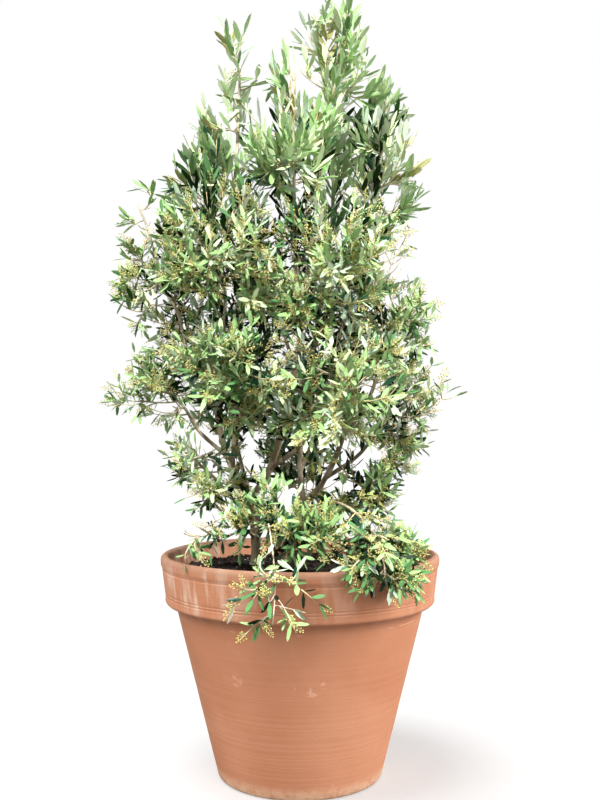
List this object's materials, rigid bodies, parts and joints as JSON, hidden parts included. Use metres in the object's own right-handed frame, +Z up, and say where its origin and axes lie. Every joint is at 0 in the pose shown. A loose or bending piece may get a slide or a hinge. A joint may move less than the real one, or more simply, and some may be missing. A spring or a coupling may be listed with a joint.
{
  "type": "potted olive tree",
  "caption": "Bushy olive tree with narrow grey-green leaves and small flower buds, growing in a round terracotta pot with a rolled rim.",
  "frame": {"origin": "centre of the pot's flat underside, which stands on the floor", "axes": "+Z up along the pot's axis, +X to the right of the front view, -Y towards the front"},
  "size_m": [0.6598, 0.6035, 1.4021],
  "materials": {
    "terracotta": "unglazed, matt",
    "soil": "loose, matt",
    "bark": "rough",
    "foliage": "satin"
  },
  "bodies": {
    "root": {"bough_base_front": "bark", "bough_droop_front": "bark", "bough_droop_right": "bark", "bough_low_back_left": "bark", "bough_low_back_right": "bark", "bough_low_left": "bark", "bough_low_left_front": "bark", "bough_low_right": "bark", "bough_low_right_front": "bark", "bough_middle_back_left": "bark", "bough_middle_back_right": "bark", "bough_middle_front": "bark", "bough_middle_left": "bark", "bough_rim_left": "bark", "bough_shoulder_left": "bark", "bough_shoulder_right": "bark", "bough_skirt_back": "bark", "bough_skirt_left": "bark", "bough_skirt_right": "bark", "bough_spray_left": "bark", "bough_top_left": "bark", "bough_top_right": "bark", "bough_upper_back": "bark", "bough_upper_front": "bark", "bough_upper_left": "bark", "bough_upper_right": "bark", "foliage_base_front": "foliage", "foliage_droop_front": "foliage", "foliage_droop_right": "foliage", "foliage_low_back_left": "foliage", "foliage_low_back_right": "foliage", "foliage_low_left": "foliage", "foliage_low_left_front": "foliage", "foliage_low_right": "foliage", "foliage_low_right_front": "foliage", "foliage_middle_back_left": "foliage", "foliage_middle_back_right": "foliage", "foliage_middle_front": "foliage", "foliage_middle_left": "foliage", "foliage_rim_left": "foliage", "foliage_shoulder_left": "foliage", "foliage_shoulder_right": "foliage", "foliage_skirt_back": "foliage", "foliage_skirt_left": "foliage", "foliage_skirt_right": "foliage", "foliage_spray_left": "foliage", "foliage_top_left": "foliage", "foliage_top_right": "foliage", "foliage_upper_back": "foliage", "foliage_upper_front": "foliage", "foliage_upper_left": "foliage", "foliage_upper_right": "foliage", "pot": "terracotta", "soil": "soil", "trunk_main": "bark", "trunk_right": "bark"}
  },
  "joints": []
}
